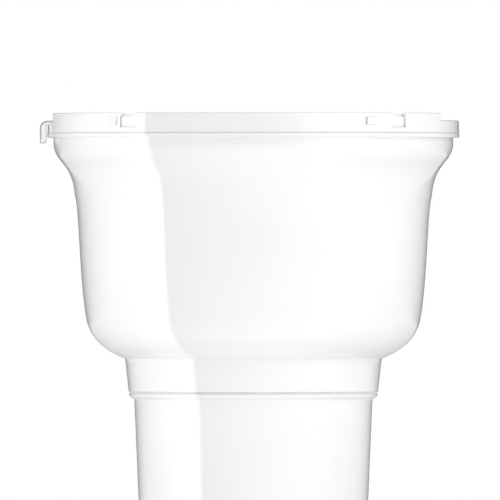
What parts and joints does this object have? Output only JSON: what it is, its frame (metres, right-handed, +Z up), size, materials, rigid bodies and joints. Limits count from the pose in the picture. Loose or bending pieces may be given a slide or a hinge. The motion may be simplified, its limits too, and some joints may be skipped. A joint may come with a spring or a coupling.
{
  "type": "ice cream maker",
  "caption": "Free-standing ice cream maker: pedestal with motor and gears, freezer bowl turning in a round housing, still dasher on a locking lid with a fill flap.",
  "frame": {"origin": "on the table, under the bowl's axis", "axes": "+Z up along the bowl's axis, -Y towards the front with the knob, +X to the right, away from the lock ring's hook"},
  "size_m": [0.2342, 0.23, 0.2844],
  "materials": {
    "white_plastic": "glossy moulded white plastic",
    "clear_plastic": "clear moulded plastic",
    "grey_plastic": "fine-textured grey plastic",
    "rubber": "soft matt rubber",
    "silicone": "pale silicone, dull",
    "steel": "bright brushed steel",
    "nylon": "natural nylon, slightly waxy",
    "copper": "lacquered copper wire",
    "coolant": "blue freezing gel, sealed in the bowl"
  },
  "bodies": {
    "base": {"upper_housing": "white_plastic", "pedestal_housing": "white_plastic", "base_skirt": "white_plastic", "neck_gasket": "silicone", "base_plate": "grey_plastic", "foot_front": "rubber", "foot_right": "rubber", "foot_rear": "rubber", "foot_left": "rubber", "well_floor": "white_plastic", "rim_ring": "white_plastic", "lid_seal": "silicone", "gearbox_plate": "steel", "gearbox_cover": "grey_plastic", "output_bush": "nylon", "idler_pin": "steel", "shaft_seal": "rubber", "motor_can": "steel", "motor_end_plate": "steel", "motor_coil": "copper", "switch_body": "grey_plastic", "mains_inlet": "grey_plastic", "base_screw_1": "steel", "base_screw_2": "steel", "base_screw_3": "steel", "base_screw_4": "steel", "gearbox_screw_1": "steel", "gearbox_screw_2": "steel", "gearbox_screw_3": "steel", "well_screw_1": "steel", "well_screw_2": "steel", "well_screw_3": "steel", "motor_screw_1": "steel", "motor_screw_2": "steel"},
    "turntable": {"output_gear": "nylon", "output_shaft": "steel", "drive_platter": "grey_plastic", "freezer_bowl_shell": "white_plastic", "freezer_bowl_liner": "steel", "freezer_bowl_coolant": "coolant", "freezer_bowl_seal": "rubber"},
    "idler": {"idler_gear": "nylon"},
    "rotor": {"motor_rotor": "grey_plastic", "motor_shaft": "steel", "motor_pinion": "nylon"},
    "lid": {"lid_disc": "clear_plastic", "dasher": "white_plastic", "feed_cap_pin": "steel"},
    "lock_ring": {"lock_ring": "white_plastic", "turn_hook": "white_plastic"},
    "feed_cap": {"feed_cap": "clear_plastic"},
    "knob": {"control_knob": "white_plastic", "switch_shaft": "steel"}
  },
  "joints": [
    {"name": "bowl_spin", "type": "hinge", "parent": "base", "child": "turntable", "pos_m": [0, 0, 0.15], "axis": [0, 0, 1], "continuous": true},
    {"name": "idler_spin", "type": "hinge", "parent": "base", "child": "idler", "pos_m": [0, 0.035, 0.108], "axis": [0, 0, 1], "continuous": true},
    {"name": "rotor_spin", "type": "hinge", "parent": "base", "child": "rotor", "pos_m": [0.018, 0.01355, 0.1], "axis": [0, 0, 1], "continuous": true},
    {"name": "lid_lift", "type": "slide", "parent": "base", "child": "lid", "axis": [0, 0, 1], "range_m": [0, 0.16]},
    {"name": "lock_ring_turn", "type": "hinge", "parent": "lid", "child": "lock_ring", "pos_m": [0, 0, 0.278], "axis": [0, 0, 1], "range_deg": [-10, 0]},
    {"name": "feed_cap_swing", "type": "hinge", "parent": "lid", "child": "feed_cap", "pos_m": [0, -0.0275, 0.2796], "axis": [-1, 0, 0], "range_deg": [0, 105]},
    {"name": "knob_turn", "type": "hinge", "parent": "base", "child": "knob", "pos_m": [0, -0.083, 0.021], "axis": [0, -1, 0], "range_deg": [-90, 0]}
  ],
  "couplings": [
    {"joint": "idler_spin", "follows": "bowl_spin", "ratio": -4},
    {"joint": "rotor_spin", "follows": "bowl_spin", "ratio": 14.667}
  ]
}
